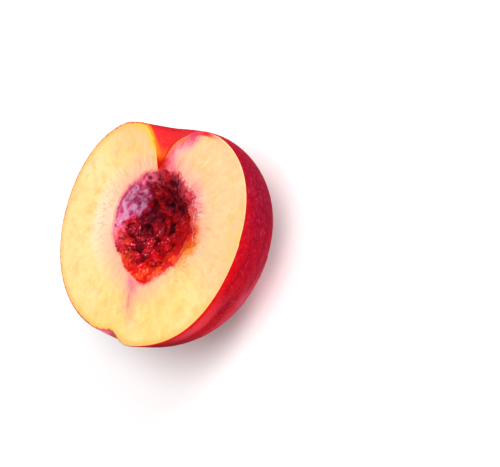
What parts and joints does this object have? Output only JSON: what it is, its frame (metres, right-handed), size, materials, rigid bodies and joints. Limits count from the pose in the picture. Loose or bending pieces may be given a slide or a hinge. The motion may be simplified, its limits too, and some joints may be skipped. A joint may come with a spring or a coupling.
{
  "type": "peach half",
  "caption": "Ripe peach half with the stone taken out: flat cut face, lumpy stone hollow, stem notch and a round back with a small flat to rest on.",
  "frame": {"origin": "middle of the bounding box's underside, on the small flat that the round back rests on", "axes": "+Z out of the cut face, +Y to the stem end, +X to the right cheek as seen from above with the stem end up"},
  "size_m": [0.0758, 0.069, 0.0349],
  "materials": {
    "flesh": "moist pale yellow flesh on the cut, downy crimson skin on the back, wet dark red lining in the hollow"
  },
  "bodies": {
    "root": {"peach_half": "flesh"}
  },
  "joints": []
}
